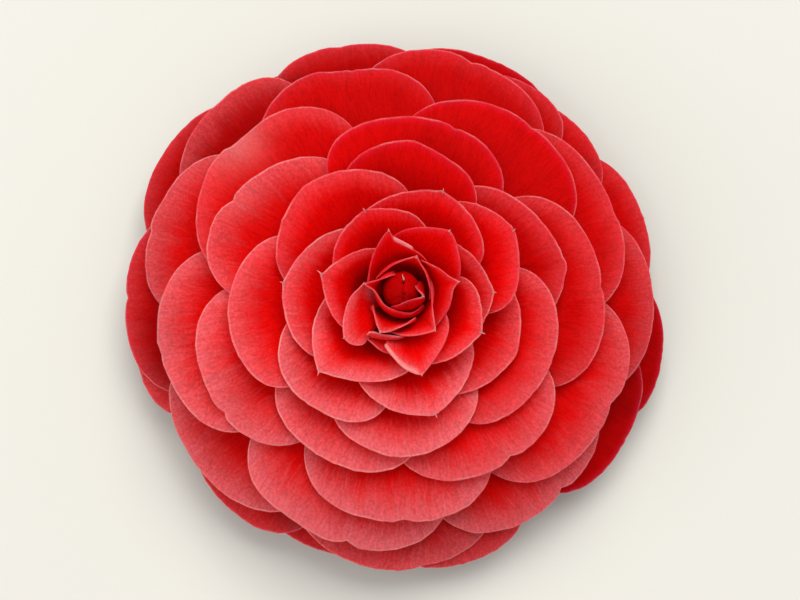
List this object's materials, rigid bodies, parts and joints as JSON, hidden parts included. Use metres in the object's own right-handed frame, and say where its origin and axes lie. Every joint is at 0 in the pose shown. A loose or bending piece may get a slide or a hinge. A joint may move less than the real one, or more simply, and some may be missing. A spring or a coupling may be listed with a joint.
{
  "type": "camellia flower",
  "caption": "Formal double camellia bloom, picked with its calyx and a short pedicel: overlapping round petals in a dome, pointed petals round a closed heart.",
  "frame": {"origin": "centre of the flat scar under the pedicel, on which the picked bloom rests", "axes": "+Z out of the face of the bloom; azimuths are counted from +X towards +Y, and the petals are placed by them"},
  "size_m": [0.0893, 0.0873, 0.0356],
  "materials": {
    "petal": "velvety, deep red at the base and in the centre, paler coral towards the edges",
    "sepal": "matt olive green with silky pale down and brown margins",
    "pedicel": "matt brown-green bark with a pale scar"
  },
  "bodies": {
    "root": {"corolla": "petal", "calyx": "sepal", "pedicel": "pedicel"}
  },
  "joints": []
}
